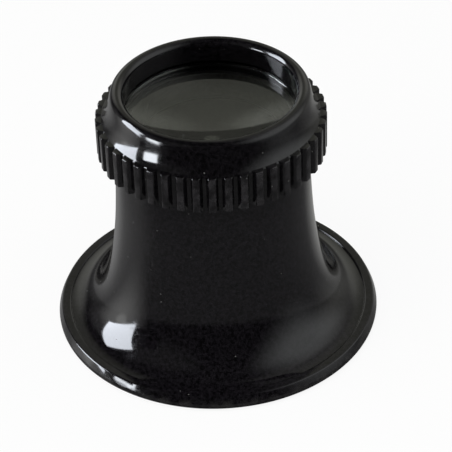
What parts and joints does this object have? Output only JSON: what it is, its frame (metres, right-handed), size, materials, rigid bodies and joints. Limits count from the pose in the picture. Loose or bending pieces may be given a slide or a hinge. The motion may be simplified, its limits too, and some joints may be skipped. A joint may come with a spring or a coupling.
{
  "type": "watchmaker loupe",
  "caption": "Black watchmaker's loupe: flared eyecup on a hollow barrel, with a knurled screw ring that carries the front lens above a rear lens and spacer.",
  "frame": {"origin": "centre of the eyecup's rim, on the plane that it stands on", "axes": "+Z along the optical axis, from the eye towards the work"},
  "size_m": [0.046, 0.046, 0.0379],
  "materials": {
    "gloss_black": "moulded black, polished",
    "ring_black": "moulded black, polished shoulder and satin ribs",
    "inner_black": "matt black",
    "lens_glass": "polished"
  },
  "bodies": {
    "cup": {"eyecup": "gloss_black", "rear_lens": "lens_glass", "lens_spacer": "inner_black"},
    "lens_cell": {"front_lens": "lens_glass"},
    "screw_ring": {"knurled_ring": "ring_black"}
  },
  "joints": [
    {"name": "ring_rise", "type": "slide", "parent": "cup", "child": "lens_cell", "axis": [0, 0, 1], "range_m": [0, 0.003]},
    {"name": "ring_turn", "type": "hinge", "parent": "lens_cell", "child": "screw_ring", "pos_m": [0, 0, 0.0285], "axis": [0, 0, 1], "range_deg": [0, 720]}
  ],
  "couplings": [
    {"joint": "ring_rise", "follows": "ring_turn", "m_per_rad": 0.00023873}
  ]
}
